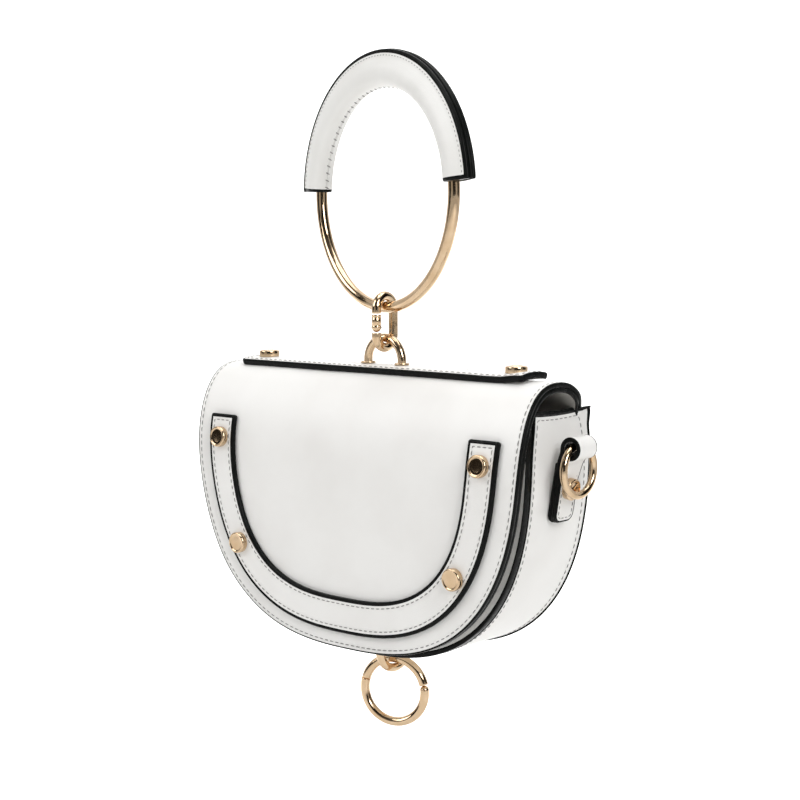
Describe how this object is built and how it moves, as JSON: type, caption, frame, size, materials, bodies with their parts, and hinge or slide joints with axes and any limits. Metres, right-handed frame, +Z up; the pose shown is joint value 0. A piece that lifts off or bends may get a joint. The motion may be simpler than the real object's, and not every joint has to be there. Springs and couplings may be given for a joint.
{
  "type": "ring handle bag",
  "caption": "Small half-moon flap bag in smooth leather, hung from a round metal handle with a padded grip, with hanging metal rings.",
  "frame": {"origin": "inside top of the grip, where the round handle hangs on a hand or hook", "axes": "+Z up along the hanging line, +X along the bag's width, -Y towards the flap's front"},
  "size_m": [0.223, 0.0617, 0.3179],
  "materials": {
    "leather": "smooth, slightly glossy white leather",
    "lining": "dark grey inner leather",
    "edge": "black edge paint, glossy",
    "gold": "polished light gold"
  },
  "bodies": {
    "handle": {"handle_ring": "gold", "grip_front": "leather", "grip_back": "leather", "grip_rim": "edge"},
    "link": {"link": "gold"},
    "link_gate": {"link_gate": "gold"},
    "bag": {"flap": "leather", "flap_lining": "lining", "front_panel": "leather", "gusset": "leather", "flap_strap": "leather", "top_strip": "leather", "flap_rivet_1": "gold", "flap_rivet_2": "gold", "flap_rivet_3": "gold", "flap_rivet_4": "gold", "top_rivet_left": "gold", "top_rivet_right": "gold", "top_staple": "gold", "bottom_staple": "gold", "side_tab_left": "leather", "side_tab_right": "leather", "tab_rivet_left": "gold", "tab_rivet_right": "gold"},
    "lower_ring": {"bottom_ring": "gold"},
    "lower_ring_gate": {"bottom_gate": "gold"},
    "side_ring_left": {"side_ring_left": "gold"},
    "side_ring_right": {"side_ring_right": "gold"}
  },
  "joints": [
    {"name": "link_swing", "type": "hinge", "parent": "handle", "child": "link", "pos_m": [0, 0, -0.1006], "axis": [0.9759, -0.2182, 0], "range_deg": [-45, 45]},
    {"name": "bag_swing", "type": "hinge", "parent": "link", "child": "bag", "pos_m": [0, 0, -0.11475], "axis": [1, 0, 0], "range_deg": [-45, 45]},
    {"name": "link_gate_hinge", "type": "hinge", "parent": "link", "child": "link_gate", "pos_m": [0, -0.0058, -0.10975], "axis": [-1, 0, 0], "range_deg": [0, 35], "stiffness_Nm_per_rad": 0.005, "springref_deg": -11.46},
    {"name": "lower_ring_swing", "type": "hinge", "parent": "bag", "child": "lower_ring", "pos_m": [0, 0.006, -0.27225], "axis": [0, 1, 0], "range_deg": [-45, 45]},
    {"name": "lower_ring_gate_hinge", "type": "hinge", "parent": "lower_ring", "child": "lower_ring_gate", "pos_m": [0.0147, 0.01071, -0.28185], "axis": [0.3051, -0.9523, 0], "range_deg": [0, 40], "stiffness_Nm_per_rad": 0.02, "springref_deg": -17.19},
    {"name": "side_ring_left_swing", "type": "hinge", "parent": "bag", "child": "side_ring_left", "pos_m": [-0.1063, 0.006, -0.1581], "axis": [0, 1, 0], "range_deg": [0, 110]},
    {"name": "side_ring_right_swing", "type": "hinge", "parent": "bag", "child": "side_ring_right", "pos_m": [0.1063, 0.006, -0.1581], "axis": [0, -1, 0], "range_deg": [0, 110]}
  ]
}
